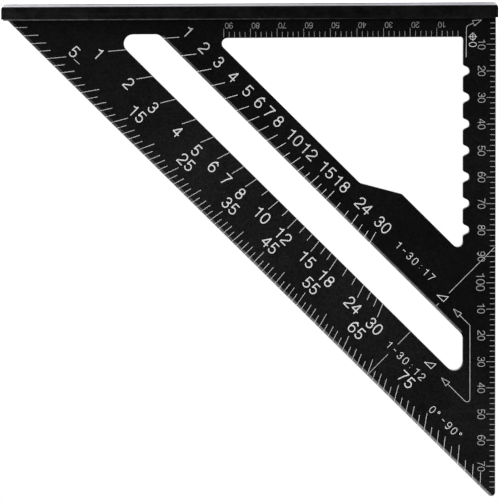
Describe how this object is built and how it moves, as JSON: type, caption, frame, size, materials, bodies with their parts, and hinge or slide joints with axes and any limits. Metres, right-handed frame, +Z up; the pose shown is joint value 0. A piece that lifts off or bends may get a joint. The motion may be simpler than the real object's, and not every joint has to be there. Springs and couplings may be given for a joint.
{
  "type": "speed square",
  "caption": "Triangular aluminium speed square with a T-shaped fence, a diagonal slot, scribing notches, and millimetre, degree and rafter scales.",
  "frame": {"origin": "centre of the fence's outer face, on which the square stands", "axes": "+Z up from the fence's outer face along the square edge, +X along the fence away from the pivot corner, the printed front face looks along -Y"},
  "size_m": [0.185, 0.022, 0.1871],
  "materials": {
    "blade_anodised": "black anodised sheet face, satin",
    "fence_anodised": "black anodised extrusion, satin with faint die lines",
    "white_fill": "matte white printed paint"
  },
  "bodies": {
    "root": {"blade": "blade_anodised", "fence": "fence_anodised", "edge_scale_ticks": "white_fill", "edge_scale_numerals": "white_fill", "inner_scale_ticks": "white_fill", "inner_scale_numerals": "white_fill", "degree_ticks": "white_fill", "degree_numerals": "white_fill", "common_ticks": "white_fill", "common_numerals": "white_fill", "hip_ticks": "white_fill", "hip_numerals": "white_fill", "pivot_pointer": "white_fill", "top_cut_bracket": "white_fill", "diagonal_guide": "white_fill", "scale_signs": "white_fill", "back_edge_ticks": "white_fill", "back_edge_numerals": "white_fill", "back_degree_ticks": "white_fill", "back_degree_numerals": "white_fill"}
  },
  "joints": []
}
